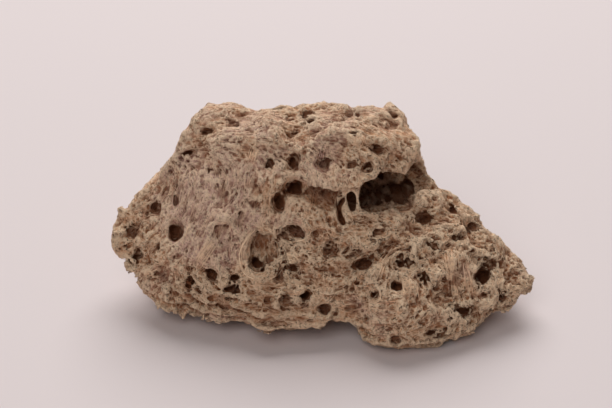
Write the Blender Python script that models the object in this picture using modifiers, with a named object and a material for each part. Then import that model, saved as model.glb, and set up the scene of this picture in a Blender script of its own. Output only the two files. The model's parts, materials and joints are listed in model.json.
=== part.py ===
"""A pumice stone: one closed faceted solid with its ledges, hollows and burst bubbles.

Metres, +Z up. The origin is on the surface the stone rests on, under the middle of
its box. The long axis lies along X and the best side faces -Y.

The body is a union of convex lumps, swollen by noise and trimmed to the outline that
the best side shows. Ellipsoids then carve the hollow under the brow and the bubbles,
and a flat cut gives the stone the feet it rests on.
"""

import math
import random

import bmesh
import bpy
from mathutils import Matrix, Vector
from mathutils.bvhtree import BVHTree

# Driving dimension. Every length below is in UNIT, which is 1 mm at this length.
LENGTH = 0.082
UNIT = LENGTH / 82

# The best side is laid out on a sheet square to a line of sight, through SHEET_CENTRE.
# Places on it are (across, up) in UNIT, seen in perspective from the eye.
SHEET_CENTRE = Vector((-3.35, 0, 23.3))
SIGHT_ELEVATION = math.radians(30)
SIGHT_DISTANCE = 325
ACROSS = Vector((1, 0, 0))
SHEET_UP = Vector((0, math.sin(SIGHT_ELEVATION), math.cos(SIGHT_ELEVATION)))
SIGHT = Vector((0, math.cos(SIGHT_ELEVATION), -math.sin(SIGHT_ELEVATION)))
EYE = SHEET_CENTRE - SIGHT * SIGHT_DISTANCE
SIGHT_REACH = 70  # how far the outline tube runs before and behind the sheet
MIDDLE = Vector((-0.3, 2.35, 0))  # of the box of the stone, in the frame that the corners are written in

FUSE_VOXEL = 1.0  # joins the lumps into one skin
CARVE_VOXEL = 0.62  # joins the carved hollows to the skin
SHARE_KEPT = 0.115  # of the triangles, which leaves about 8,700

# Relief, as (size, height) in UNIT: broad swells, ridges between them, and small crags.
SWELL = (11, 3.0)
RIDGES = (9, 0.9)
CRAGS = (5, 1.1)

# Bubbles scattered all round, beside those placed by hand.
SEED = 7
TRIES = 90
SMALLEST, LARGEST = 0.9, 3.1  # radius
SMALL_SHARE = 2.2  # the higher, the more of them are small
CLEARANCE = 0.5  # between one bubble and the next
BARE_BELOW = 2  # height of the band over the floor that has none
LENGTHWISE = 1.6  # spreads them along the long axis
STONE_CENTRE = (0, 3, 17)

# Corners of the convex lumps, (x, y, z) in UNIT.
LUMPS = {
    "main_block": [
        (-23, 14, 38.2), (-1, 17, 38.6), (13, 15, 39), (-23, 1, 35.5), (1, 2, 38), (17, 3, 37),
        (-25, 17, 26), (-6, 23, 21), (9, 21, 27), (19, 18, 18), (-21, 16, 5), (-2, 21, 6), (17, 17, 4),
        (-25, -11, 4.5), (-12, -16.5, 5), (3, -13.5, 5), (-15, -3, -1), (6, -2, -1), (-16, 10, -1), (8, 13, -1),
    ],
    "left_wedge": [
        (-42.5, 3, 15), (-41.5, 6, 19), (-40, 0, 9.5), (-36, -4.5, 4), (-31, -9, 1.5), (-31.5, 8, 31),
        (-27.5, 8, 37), (-22, 14, 38.5), (-12, 1, 36), (-18, -13, 5), (-22, 17, 28), (-26, 15, 5),
        (-37, 11, 14), (-20, -9, 22), (-10, 10, 10),
    ],
    "front_slab": [
        (-16, -15.5, 5), (-4, -15.5, 4), (5.5, -14, 4), (-14, -9.5, 21), (6, -7, 24), (10, -12, 14), (10, -4, 26),
        (0, 0, 12), (8, -13, 6),
    ],
    "right_lobe": [
        (43, -3, 8), (42, -4, 5.5), (40, 0, 11.5), (36, 2, 15), (29.5, 6, 21), (39, 4, 6), (36, -9, 3),
        (29, -13, 0.5), (22.5, -17.5, 0.5), (13, -19.5, 1.5), (5.8, -16.5, 2), (14, -18.5, 11), (26, -14, 9.5),
        (8, -13, 17), (18, -9, 19), (28, 12, 14), (21, 17, 12), (26, 14, 3), (8, 12, 1), (11, -14, -1),
        (24, -8, -1), (22, 9, -1),
    ],
    "shelf": [
        (22, 8, 25), (26.5, 8, 24.5), (30, 6, 20), (18, -3, 23), (8, -7, 22.5), (6, -12, 14), (20, 14, 20),
        (20, -4, 10), (4, -4, 14),
    ],
    "right_wall": [
        (12, 13, 37.5), (20, 8, 35), (21.5, 9, 28), (25, 9, 23), (27, 11, 18), (20, 18, 22), (25, 16, 8), (12, 4, 30),
        (14, 2, 16), (8, 14, 8),
    ],
    "brow": [
        (-6, 1, 37), (13, 2, 38.6), (20, 4, 36), (21, 7, 31), (-7, -4, 30), (0, -6.5, 28.5), (9, -5.2, 30.5),
        (15.5, -1.5, 32), (14, 10, 30), (-4, 8, 26),
    ],
}

# The outline of the best side on the sheet, (across, up) in UNIT, clockwise from the top left.
OUTLINE = [
    (-21.8, 17.0), (-18.6, 19.1), (-12.4, 19.0), (-9.8, 18.1), (-6.5, 18.0), (-2.0, 19.2), (2.0, 19.6), (6.9, 19.2),
    (8.9, 18.3), (12.6, 19.3), (14.7, 18.2), (15.7, 19.4), (17.0, 19.0), (18.9, 16.8), (19.5, 14.2), (21.8, 13.0),
    (22.0, 9.5), (22.8, 6.6), (24.3, 4.6), (25.4, 2.8), (27.0, 2.9), (29.4, 0.2), (33.3, -2.6), (34.5, -4.6),
    (36.6, -6.5), (37.6, -8.3), (41.3, -11.3), (43.0, -13.2), (43.7, -14.8), (43.2, -16.9), (40.8, -18.8),
    (37.9, -20.2), (36.3, -20.1), (33.4, -23.2), (31.0, -25.0), (27.6, -26.3), (20.9, -27.8), (14.0, -27.2),
    (10.3, -26.2), (8.8, -23.5), (5.0, -23.0), (2.3, -24.2), (-4.6, -23.7), (-8.4, -24.8), (-12.6, -22.8),
    (-17.4, -22.7), (-24.5, -22.3), (-28.9, -19.1), (-31.2, -16.1), (-33.9, -14.0), (-34.7, -10.0), (-36.7, -7.5),
    (-37.0, -4.5), (-35.6, -0.9), (-33.4, 0.5), (-32.2, 2.4), (-29.8, 4.4), (-27.0, 7.8), (-25.3, 9.6),
    (-23.4, 14.0), (-22.4, 15.4),
]

# Hollows and bubbles are ellipsoids laid out on the sheet: (across, up, half-width, half-height,
# half-depth, turn in degrees, sink). Sink is how far under the skin the centre lies, in UNIT.
HOLLOW = [
    (14.8, 2.5, 6.4, 3.6, 10.5, 6, 4.0),
    (14.0, 2.4, 7.4, 5.0, 6.0, 6, 7.5),
    (10.4, 1.0, 2.8, 2.9, 7.0, 0, 3.0),
    (22.0, 4.8, 4.2, 3.0, 5.0, -40, 1.5),
]
BUBBLES = [
    (33.7, -14.0, 1.7, 1.9, 3.0, 0, 1.6), (33.3, -11.2, 2.0, 1.8, 1.4, 0, 0.2),  # the round eye of the right lobe
    (-8.2, -9.2, 3.0, 4.5, 3.0, 0, 0.4), (-9.4, -11.6, 1.4, 1.4, 2.4, 0, 3.0),  # the great burst bubble
    (-2.3, -5.2, 2.2, 2.0, 1.8, 0, 0.5), (-5.0, -12.6, 1.0, 2.6, 1.6, -15, 0.5),
    (-2.5, -12.9, 1.1, 1.3, 1.8, 0, 0.6), (-0.2, -17.8, 1.4, 1.4, 2.2, 0, 0.8),
    (-3.4, -18.2, 1.7, 1.6, 1.4, 0, 0.3), (3.4, -20.3, 1.6, 1.5, 1.6, 0, 0.4),
    (-13.8, -14.2, 1.2, 1.1, 1.6, 0, 0.4), (-15.0, -16.1, 1.5, 1.2, 1.6, 0, 0.4),
    (-22.2, -15.1, 1.6, 1.4, 1.8, 20, 0.4), (-18.2, -12.8, 2.4, 1.2, 1.6, -8, 0.5),
    (-25.1, -5.2, 1.8, 2.3, 2.2, 0, 0.6), (-28.9, -1.0, 1.0, 1.2, 1.8, 0, 0.6),
    (-24.9, 0.8, 0.9, 2.0, 1.2, 0, 0.3), (-33.5, -5.2, 1.4, 1.6, 1.6, -30, 0.4),
    (-32.3, -10.1, 1.4, 1.1, 1.4, 20, 0.3), (-22.2, 9.9, 1.3, 1.0, 1.4, 15, 0.4),
    (-19.1, 13.8, 1.2, 1.0, 1.2, 0, 0.3), (-14.2, 15.7, 1.6, 1.2, 1.0, 0, 0.2),
    (0.4, 17.4, 1.3, 1.3, 1.4, 0, 0.3), (8.2, 17.0, 1.4, 1.3, 1.4, 0, 0.3), (17.0, 15.3, 1.2, 1.0, 1.2, 0, 0.3),
    (-2.3, 3.1, 2.2, 2.0, 2.6, 0, 0.8), (-5.2, 0.2, 1.2, 1.3, 1.8, 0, 0.6), (-2.5, 8.0, 1.1, 1.9, 1.6, 0, 0.5),
    (-6.9, 8.0, 1.5, 1.3, 1.0, 0, 0.2), (13.8, 10.5, 1.5, 1.3, 1.6, 0, 0.4), (11.7, 6.8, 1.5, 1.1, 1.6, 0, 0.4),
    (3.1, 7.8, 1.9, 1.6, 1.2, 0, 0.2), (3.5, 1.5, 4.2, 2.2, 2.0, -10, 0.4), (7.6, 0.2, 1.5, 2.2, 2.4, -12, 0.6),
    (11.9, -11.4, 2.9, 1.3, 2.2, 22, 0.6), (11.1, -14.0, 1.0, 1.0, 1.6, 0, 0.6), (9.6, -9.4, 1.3, 1.2, 1.4, 0, 0.3),
    (18.9, -11.3, 2.4, 2.1, 1.8, 0, 0.3), (22.8, -14.2, 1.7, 1.2, 2.0, 5, 0.5), (17.6, -15.9, 1.4, 1.2, 1.8, 0, 0.5),
    (13.2, -17.4, 1.1, 1.3, 1.6, 0, 0.4), (24.1, -7.8, 1.9, 1.6, 1.2, 0, 0.2), (23.0, -2.9, 1.2, 1.0, 1.6, 0, 0.4),
    (27.9, -1.1, 1.2, 1.1, 1.4, 0, 0.3), (31.6, -4.2, 1.2, 1.1, 1.4, 0, 0.3), (28.7, -6.3, 1.4, 1.2, 1.2, 0, 0.2),
    (35.6, -11.1, 1.1, 1.1, 1.6, 0, 0.4), (37.2, -17.5, 1.2, 1.2, 1.2, 0, 0.1), (30.0, -20.5, 1.7, 1.1, 2.0, 0, 0.6),
    (25.1, -24.5, 3.0, 1.4, 1.6, 8, 0.2), (11.3, -25.1, 1.9, 1.3, 1.8, 0, 0.4), (17.4, -26.2, 1.7, 1.0, 1.4, 0, 0.3),
    (-7.3, -22.6, 1.8, 0.9, 1.2, 0, 0.2), (4.6, -8.8, 1.4, 1.3, 1.4, 0, 0.4), (-23.7, -20.7, 1.1, 1.0, 1.2, 0, 0.3),
]


def in_metres(point):
    return (Vector(point) - MIDDLE) * UNIT


def on_sheet(across, up):
    return SHEET_CENTRE + ACROSS * across + SHEET_UP * up


def collection(name):
    made = bpy.data.collections.new(name)
    bpy.context.scene.collection.children.link(made)
    return made


def add_object(name, shape, into):
    mesh = bpy.data.meshes.new(name)
    shape.to_mesh(mesh)
    shape.free()
    made = bpy.data.objects.new(name, mesh)
    into.objects.link(made)
    return made


def add_helper(name, shape, into):
    made = add_object(name, shape, into)
    made.hide_render = True
    made.display_type = "WIRE"
    return made


def add_modifier(thing, kind, name, **settings):
    made = thing.modifiers.new(name, kind)
    for setting, value in settings.items():
        setattr(made, setting, value)
    return made


def relief(thing, name, kind, size_and_height, level, **settings):
    """Noise that moves the skin out where it is over the level, and in where it is under."""
    size, height = size_and_height
    noise = bpy.data.textures.new(name, kind)
    noise.noise_scale = size * UNIT
    for setting, value in settings.items():
        setattr(noise, setting, value)
    add_modifier(thing, "DISPLACE", name, texture=noise, strength=height * UNIT, mid_level=level)


def hull(corners):
    shape = bmesh.new()
    for corner in corners:
        shape.verts.new(in_metres(corner))
    made = bmesh.ops.convex_hull(shape, input=shape.verts)
    inside = [v for v in made["geom_interior"] if isinstance(v, bmesh.types.BMVert)]
    bmesh.ops.delete(shape, geom=inside, context="VERTS")
    bmesh.ops.recalc_face_normals(shape, faces=shape.faces)
    return shape


def outline_tube():
    """The outline drawn out along the lines of sight, wider further from the eye."""
    shape = bmesh.new()
    near = 1 - SIGHT_REACH / SIGHT_DISTANCE
    far = 1 + SIGHT_REACH / SIGHT_DISTANCE
    corners = [EYE + (on_sheet(across, up) - EYE) * near for across, up in OUTLINE]
    front = shape.faces.new([shape.verts.new(in_metres(corner)) for corner in corners])
    drawn = bmesh.ops.extrude_face_region(shape, geom=[front])
    eye = in_metres(EYE)
    for vert in drawn["geom"]:
        if isinstance(vert, bmesh.types.BMVert):
            vert.co = eye + (vert.co - eye) * far / near
    bmesh.ops.recalc_face_normals(shape, faces=shape.faces)
    return shape


def slab_below():
    """Everything under the surface that the stone rests on."""
    shape = bmesh.new()
    depth = 10 * UNIT
    bmesh.ops.create_cube(shape, size=1, matrix=Matrix.Diagonal((2 * LENGTH, 2 * LENGTH, depth, 1)))
    bmesh.ops.translate(shape, verts=shape.verts, vec=(0, 0, -depth / 2))
    return shape


def skin_tree(stone):
    bpy.context.view_layer.update()
    return BVHTree.FromObject(stone, bpy.context.evaluated_depsgraph_get())


def ellipsoid(centre, axes, half_sizes):
    """An ellipsoid at centre, its half sizes along three axes that are square to each other."""
    shape = bmesh.new()
    frame = Matrix((axes[0], axes[1], axes[2])).transposed().to_4x4()
    sizes = Matrix.Diagonal((*(half * UNIT for half in half_sizes), 1))
    place = Matrix.Translation(centre) @ frame @ sizes
    bmesh.ops.create_icosphere(shape, subdivisions=3 if max(half_sizes) > LARGEST else 2, radius=1, matrix=place)
    bmesh.ops.recalc_face_normals(shape, faces=shape.faces)
    return shape


def carve_on_sheet(skin, bubble, name, into):
    """A cutter under the skin where the line of sight through (across, up) meets it."""
    across, up, half_width, half_height, half_depth, turn, sink = bubble
    sight = (on_sheet(across, up) - EYE).normalized()
    met = skin.ray_cast(in_metres(EYE), sight)[0]
    turned = Matrix.Rotation(math.radians(turn), 3, -SIGHT)
    axes = (turned @ ACROSS, turned @ SHEET_UP, SIGHT)
    add_helper(name, ellipsoid(met + sight * sink * UNIT, axes, (half_width, half_height, half_depth)), into)
    return met, max(half_width, half_height) * UNIT


def scatter_bubbles(skin, taken, into):
    """Bubbles of mixed sizes all round the stone, each clear of the ones before it."""
    dice = random.Random(SEED)
    middle = in_metres(STONE_CENTRE)
    for number in range(TRIES):
        way = Vector((dice.gauss(0, LENGTHWISE), dice.gauss(0, 1), dice.gauss(0, 1))).normalized()
        radius = SMALLEST + (LARGEST - SMALLEST) * dice.random() ** SMALL_SHARE
        flatness = dice.uniform(0.7, 1.0)
        spin = dice.uniform(0, math.pi)
        met, normal = skin.ray_cast(middle + way * LENGTH, -way)[:2]
        if met is None or met.z < BARE_BELOW * UNIT:
            continue
        if any((met - place).length < reach + (radius + CLEARANCE) * UNIT for place, reach in taken):
            continue
        taken.append((met, radius * UNIT))
        side = normal.orthogonal().normalized()
        side.rotate(Matrix.Rotation(spin, 3, normal))
        half_sizes = (radius, radius * flatness, radius * dice.uniform(0.9, 1.4))
        axes = (side, normal.cross(side), normal)
        sunk = met - normal * radius * dice.uniform(0.1, 0.5) * UNIT
        add_helper(f"loose_bubble_{number}", ellipsoid(sunk, axes, half_sizes), into)


def carve(stone, into):
    skin = skin_tree(stone)
    taken = []
    for number, bubble in enumerate(HOLLOW):
        taken.append(carve_on_sheet(skin, bubble, f"hollow_{number}", into))
    for number, bubble in enumerate(BUBBLES):
        taken.append(carve_on_sheet(skin, bubble, f"bubble_{number}", into))
    scatter_bubbles(skin, taken, into)
    add_modifier(stone, "BOOLEAN", "bubbles", operation="DIFFERENCE", operand_type="COLLECTION", collection=into)


def pumice():
    made = bpy.data.materials.new("pumice")
    made.use_nodes = True
    shader = made.node_tree.nodes["Principled BSDF"]
    shader.inputs["Base Color"].default_value = (0.36, 0.26, 0.19, 1)
    shader.inputs["Roughness"].default_value = 0.95
    return made


def main():
    for thing in list(bpy.data.objects):
        bpy.data.objects.remove(thing)
    parts = collection("pumice stone")
    helpers = collection("lumps")
    cutters = collection("bubble cutters")
    stone = add_object("pumice_stone", hull(LUMPS["main_block"]), parts)
    stone.data.materials.append(pumice())
    for name, corners in LUMPS.items():
        if name != "main_block":
            lump = add_helper(name, hull(corners), helpers)
            add_modifier(stone, "BOOLEAN", name, operation="UNION", object=lump)
    add_modifier(stone, "REMESH", "fuse", mode="VOXEL", voxel_size=FUSE_VOXEL * UNIT)
    add_modifier(stone, "SMOOTH", "soften", factor=0.5, iterations=4)
    relief(stone, "swell", "CLOUDS", SWELL, 0.5, noise_depth=2)
    relief(stone, "ridges", "MUSGRAVE", RIDGES, 0.5, musgrave_type="RIDGED_MULTIFRACTAL", octaves=3, lacunarity=2.2)
    tube = add_helper("outline_tube", outline_tube(), helpers)
    add_modifier(stone, "BOOLEAN", "outline", operation="INTERSECT", object=tube)
    carve(stone, cutters)
    add_modifier(stone, "REMESH", "join", mode="VOXEL", voxel_size=CARVE_VOXEL * UNIT)
    relief(stone, "crags", "VORONOI", CRAGS, 0.35, distance_metric="DISTANCE", weight_1=-1, weight_2=1)
    add_modifier(stone, "DECIMATE", "facets", ratio=SHARE_KEPT)
    floor = add_helper("slab_below", slab_below(), helpers)
    add_modifier(stone, "BOOLEAN", "feet", operation="DIFFERENCE", object=floor)


main()
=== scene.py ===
# %% [markdown]
# # A pumice stone
# Pumice is glass froth. Gas blew bubbles in the melt, the moving melt drew them out and pulled glass
# threads between them, and the froth set and broke. So its surface isn't a rock's surface with dents in
# it: it is a cut through thousands of bubbles. This file builds it that way round, in distances, and
# then lays the threads on it.

# %% Load the frame
import json
import math

import bpy
import numpy as np
import openvdb
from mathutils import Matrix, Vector

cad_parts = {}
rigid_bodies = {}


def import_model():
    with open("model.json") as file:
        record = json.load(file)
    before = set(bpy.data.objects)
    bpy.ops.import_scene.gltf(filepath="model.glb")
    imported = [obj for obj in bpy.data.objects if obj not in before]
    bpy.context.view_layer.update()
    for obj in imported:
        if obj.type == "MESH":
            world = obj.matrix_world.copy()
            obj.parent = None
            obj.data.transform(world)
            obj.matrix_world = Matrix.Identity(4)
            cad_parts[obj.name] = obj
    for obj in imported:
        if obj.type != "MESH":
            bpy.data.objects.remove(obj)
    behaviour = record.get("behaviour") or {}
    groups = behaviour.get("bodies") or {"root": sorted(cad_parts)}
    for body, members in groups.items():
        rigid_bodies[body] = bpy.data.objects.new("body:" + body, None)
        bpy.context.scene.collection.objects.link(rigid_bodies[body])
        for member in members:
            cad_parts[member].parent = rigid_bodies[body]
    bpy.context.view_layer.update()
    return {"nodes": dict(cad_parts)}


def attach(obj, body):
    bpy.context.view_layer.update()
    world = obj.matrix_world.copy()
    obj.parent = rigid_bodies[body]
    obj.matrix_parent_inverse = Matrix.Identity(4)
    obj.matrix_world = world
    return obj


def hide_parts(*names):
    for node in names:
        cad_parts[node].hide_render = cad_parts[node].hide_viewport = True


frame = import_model()
bpy.ops.object.select_all(action="DESELECT")
node = frame["nodes"]["pumice_stone"]
MM = 0.001

# %% [markdown]
# ## The sheet
# Places on the stone's best side are given as (across, up) in millimetres on a sheet square to the
# line of sight. The camera looks through the same sheet, so a bubble lands where it is meant to.

# %% The sheet and the eye
SHEET_CENTRE = np.array((-3.05, -2.35, 23.3))
SIGHT_ELEVATION = math.radians(30)
SIGHT_DISTANCE = 325.0
ACROSS = np.array((1.0, 0.0, 0.0))
UP_SHEET = np.array((0.0, math.sin(SIGHT_ELEVATION), math.cos(SIGHT_ELEVATION)))
SIGHT = np.array((0.0, math.cos(SIGHT_ELEVATION), -math.sin(SIGHT_ELEVATION)))
EYE = SHEET_CENTRE - SIGHT * SIGHT_DISTANCE


def on_sheet(across, up):
    return SHEET_CENTRE + ACROSS * across + UP_SHEET * up


# %% [markdown]
# ## A block of distances
# The block is a 3-D grid. Each cell holds how far it is from the stone's skin, in millimetres, below
# zero inside. OpenVDB, which comes with Blender, fills it from a mesh. Carving is then plain
# arithmetic: the larger of two distances is a cut, the smaller is a joint, and adding noise roughens.
# Thousands of Booleans on a mesh would take an hour and leave slivers, and this takes seconds.

# %% Fill the block from the CAD stone
VOXEL = 0.2
BAND = 4.0  # mm of true distance on either side of the skin
MARGIN = 1.5  # mm of air round the stone


def merged_mesh(thing):
    """Points in mm and triangles of a node whose triangles are loose, with its doubles merged."""
    bpy.ops.object.select_all(action="DESELECT")
    thing.select_set(True)
    bpy.context.view_layer.objects.active = thing
    bpy.ops.object.duplicate()
    copy = bpy.context.object
    bpy.ops.object.mode_set(mode="EDIT")
    bpy.ops.mesh.select_all(action="SELECT")
    bpy.ops.mesh.remove_doubles(threshold=1e-6)
    bpy.ops.object.mode_set(mode="OBJECT")
    points = np.empty(len(copy.data.vertices) * 3, np.float32)
    copy.data.vertices.foreach_get("co", points)
    corners = np.empty(len(copy.data.polygons) * 3, np.int32)
    copy.data.polygons.foreach_get("vertices", corners)
    bpy.data.objects.remove(copy)
    return points.reshape(-1, 3) / MM, corners.reshape(-1, 3).astype(np.uint32)


cad_points, cad_triangles = merged_mesh(node)
low = cad_points.min(0) - MARGIN
shape = tuple(int(n) for n in np.ceil((cad_points.max(0) + MARGIN - low) / VOXEL).astype(int) + 1)
level_set = openvdb.FloatGrid.createLevelSetFromPolygons(
    (cad_points - low) / VOXEL, triangles=cad_triangles, halfWidth=BAND / VOXEL
)
skin = np.empty(shape, np.float32)
level_set.copyToArray(skin)
skin *= VOXEL
print("block of", "x".join(map(str, shape)), "cells, from", len(cad_triangles), "triangles")


# %% Tools that work on blocks
def blurred(block, reach, times=1):
    """A box blur, reach cells each way, along each axis in turn."""
    width = 2 * reach + 1
    for _ in range(times):
        for axis in range(3):
            count = block.shape[axis]
            ends = ((reach + 1, reach) if a == axis else (0, 0) for a in range(3))
            sums = np.cumsum(np.pad(block, list(ends), mode="edge"), axis, dtype=np.float32)
            later = sums.take(range(width, width + count), axis)
            block = (later - sums.take(range(count), axis)) / np.float32(width)
    return block


def sample(block, points, spacing=VOXEL):
    """The block's value at each point, by trilinear interpolation."""
    at = np.clip((points - low) / spacing, 0, np.array(block.shape) - 1.001)
    cell = at.astype(np.int32)
    part = (at - cell).astype(np.float32)
    flat = block.ravel()
    across, deep = block.shape[1] * block.shape[2], block.shape[2]
    start = cell[:, 0] * across + cell[:, 1] * deep + cell[:, 2]
    total = 0
    for i, j, k in np.ndindex(2, 2, 2):
        weight = part[:, 0] if i else 1 - part[:, 0]
        weight = weight * (part[:, 1] if j else 1 - part[:, 1])
        weight = weight * (part[:, 2] if k else 1 - part[:, 2])
        total = total + weight * flat[start + (i * across + j * deep + k)]
    return total


def slope(block, points, step=0.4):
    """The direction in which the block's value grows fastest, as unit vectors."""
    found = np.stack([sample(block, points + s) - sample(block, points - s) for s in np.eye(3) * step], 1)
    return found / np.maximum(np.linalg.norm(found, axis=1, keepdims=True), 1e-9)


# %% [markdown]
# ## Noise
# Random values sit on the corners of a coarse lattice, and the cells between take a smooth blend. Each
# call has its own seed, so the stone comes out the same every time.


# %% Noise in a block
def lumps(size, seed, spacing=VOXEL):
    """Smooth noise from about -1 to 1 through the whole block, its lumps size mm across."""
    counts = [int(n * VOXEL / spacing) + 2 for n in shape] if spacing != VOXEL else list(shape)
    corners = [int(n * spacing / size) + 3 for n in counts]
    values = np.random.default_rng(seed).uniform(-1, 1, corners).astype(np.float32)
    for axis, count in enumerate(counts):
        at = np.arange(count) * spacing / size + 0.5
        cell = at.astype(int)
        part = (at - cell).astype(np.float32)
        part = (part * part * (3 - 2 * part)).reshape([-1 if a == axis else 1 for a in range(3)])
        first = values.take(cell, axis)
        values = first + (values.take(cell + 1, axis) - first) * part
    return values


def clouds(reach, seed):
    """Blurred random cells, rounder than lumps and with no lattice to see. Most values lie within 2 of 0."""
    made = blurred(np.random.default_rng(seed).standard_normal(shape, np.float32), reach, times=2)
    return made / made.std()


# %% [markdown]
# ## Which way the glass was drawn
# The froth was pulled while it was soft, so bubbles and threads share one direction at each place. A few
# anchors say the direction near them, and how tangled it is there, and every point between takes a
# blend. The blend is worked out once, on a coarse block.

# %% The flow
# (place, direction, reach, tangle), the place and the reach in mm.
FLOW_ANCHORS = [
    ((-24, -8, 20), (-0.45, -0.2, -1.0), 10, 0.10),
    ((-14, -10, 26), (-0.35, -0.2, -1.0), 9, 0.12),
    ((-30, -4, 10), (-0.7, 0.2, -0.8), 9, 0.30),
    ((-36, -4, 14), (-0.5, 0.2, -0.4), 6, 0.70),
    ((-25, -12, 11), (0.7, 0.0, -0.5), 6, 0.90),
    ((-19, -13, 11.5), (0.8, 0.0, -0.4), 4, 0.90),
    ((-20, 6, 37), (1.0, 0.2, 0.1), 9, 0.18),
    ((8, 6, 39), (1.0, -0.2, 0.0), 12, 0.22),
    ((-12, -18, 7), (1.0, 0.0, 0.15), 8, 0.20),
    ((4, -18, 8), (1.0, 0.0, 0.05), 8, 0.45),
    ((-4, -14, 16), (0.8, 0.0, -0.5), 7, 0.80),
    ((2, -9, 30), (0.2, -0.2, -1.0), 7, 0.35),
    ((13, -6, 33), (0.7, 0.0, -0.5), 7, 0.75),
    ((10, -15, 16), (0.8, 0.1, 0.7), 8, 0.85),
    ((22, -14, 12), (0.5, 0.1, 0.9), 9, 0.90),
    ((27, -10, 12), (0.1, 0.2, 1.0), 4, 0.20),
    ((33, -8, 12), (0.4, 0.2, 1.0), 6, 0.85),
    ((18, -20, 4), (1.0, 0.1, 0.1), 7, 0.55),
    ((38, -4, 8), (0.9, 0.1, 0.2), 7, 0.80),
    ((0, 20, 20), (1.0, 0.0, -0.5), 20, 0.50),
    ((-36, 10, 12), (0.3, 0.5, 1.0), 10, 0.40),
    ((34, 12, 10), (0.6, -0.4, 0.5), 10, 0.60),
]
FLOW_SPACING = 1.0
flow_counts = [int(n * VOXEL / FLOW_SPACING) + 2 for n in shape]
flow_places = low + np.stack(np.indices(flow_counts), -1) * FLOW_SPACING
flow_ways = np.zeros((*flow_counts, 3), np.float32)
tangle = np.zeros(flow_counts, np.float32)
shares = np.zeros(flow_counts, np.float32)
for anchor, way, reach, mess in FLOW_ANCHORS:
    share = 1 / (0.05 + ((flow_places - anchor) ** 2).sum(-1) / reach**2) ** 2
    flow_ways += share[..., None] * (np.array(way) / np.linalg.norm(way))
    tangle += share * mess
    shares += share
tangle /= shares
flow_ways /= np.linalg.norm(flow_ways, axis=-1, keepdims=True)
for axis in range(3):
    wander = 0.20 * lumps(7, 11 + axis, FLOW_SPACING) + 1.7 * tangle**2 * lumps(3.2, 14 + axis, FLOW_SPACING)
    flow_ways[..., axis] += wander
flow_ways /= np.linalg.norm(flow_ways, axis=-1, keepdims=True)
flow_axes = [np.ascontiguousarray(flow_ways[..., axis]) for axis in range(3)]


def unit(vectors):
    return vectors / np.maximum(np.linalg.norm(vectors, axis=1, keepdims=True), 1e-9)


def flow(points, normals=None):
    """The unit direction in which the glass was drawn at each point, laid along the skin if asked."""
    ways = np.stack([sample(part, points, FLOW_SPACING) for part in flow_axes], 1)
    if normals is not None:
        ways -= normals * (ways * normals).sum(1, keepdims=True)
    return unit(ways)


print("flow worked out at", tangle.size, "places from", len(FLOW_ANCHORS), "anchors")

# %% [markdown]
# ## Rough form
# The CAD stone is faceted. Blurring its distances rounds the facets off. The roughening then follows
# what fracture does: broad swells, ridges where walls broke, and laminations on the lower front. Last
# comes a fine grain: random cells smeared along the flow, as drawn-out glass is.

# %% Round the facets and mend a thin edge
# (across, up, half-width, half-height, how far it goes in) on the sheet
KNOBS = [
    (-31.6, -12.4, 1.7, 2.2, 1.5),
    (-29.6, -15.4, 1.6, 1.6, 1.4),
    (41.2, -16.2, 1.4, 1.4, 1.4),
    (40.8, -15.3, 2.3, 2.1, 2.2),
    (-34.9, -2.2, 1.7, 1.9, 1.7),
    (-16.1, -5.2, 6.0, 6.0, 4.1),
    (-33.2, -0.6, 1.5, 1.4, 1.7),
    (39.6, -17.3, 1.6, 1.4, 1.2),
]
skin = blurred(skin, 1, times=2)
cell_places = [(low[n] + np.arange(shape[n]) * VOXEL).astype(np.float32) for n in range(3)]


def met_by_sight(across, up, block):
    """Where the line of sight through a place on the sheet first meets the skin of a block."""
    way = on_sheet(across, up) - EYE
    way /= np.linalg.norm(way)
    steps = EYE + way * np.arange(SIGHT_DISTANCE - 50, SIGHT_DISTANCE + 50, 0.1)[:, None]
    inside = sample(block, steps) < 0
    return steps[np.argmax(inside)] if inside.any() else None


for across, up, half_width, half_height, inward in KNOBS:
    met = met_by_sight(across, up, skin)
    if met is None:
        print("no skin behind", across, up)
        continue
    middle = met + SIGHT * inward
    offset = [cell_places[0][:, None, None] - middle[0], cell_places[1][:, None] - middle[1], cell_places[2] - middle[2]]
    size = (half_width, 0.5 * (half_width + half_height), half_height)
    length = np.sqrt(sum((part / radius) ** 2 for part, radius in zip(offset, size)))
    skin = np.minimum(skin, (length - 1) * min(size)).astype(np.float32)
smooth_skin = skin.copy()

# %% Roughen the skin
ROUGH_BAND = 2.0  # mm from the skin that the roughening reaches
i, j, k = np.nonzero(np.abs(skin) < ROUGH_BAND)
near_points = (low + np.stack((i, j, k), 1) * VOXEL).astype(np.float32)
near_tangle = sample(tangle, near_points, FLOW_SPACING)
print(len(i), "cells lie near the skin")

relief = 0.55 * lumps(6.0, 20)[i, j, k] + 0.45 * lumps(3.6, 21)[i, j, k]
crests = 0.75 * (0.6 - 1.6 * np.abs(lumps(5.2, 23)[i, j, k]))
crests += 0.60 * (0.6 - 1.6 * np.abs(lumps(2.6, 24)[i, j, k]))
relief += crests * (0.25 + 1.10 * near_tangle)
x, y, z = near_points.T
low_front = np.clip((13 - z) / 5, 0, 1) * np.clip((-6 - y) / 5, 0, 1) * np.clip((6 - x) / 8, 0.25, 1)
bent = z + 0.08 * x + 0.9 * lumps(9, 25)[i, j, k]
relief += low_front * 0.42 * np.sin(bent * 2 * math.pi / 2.1)

# %% Crumble it
coarse, fine = clouds(3, 33)[i, j, k], clouds(1, 34)[i, j, k]
relief += 0.14 * coarse + 0.10 * fine * (0.5 + 0.7 * near_tangle)
relief -= 0.60 * np.clip(coarse - 0.8, 0, 1.2) * (0.4 + 0.9 * near_tangle)
relief -= 0.50 * np.clip(fine - 0.8, 0, 1.0) * (0.6 + 0.6 * near_tangle)

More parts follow.
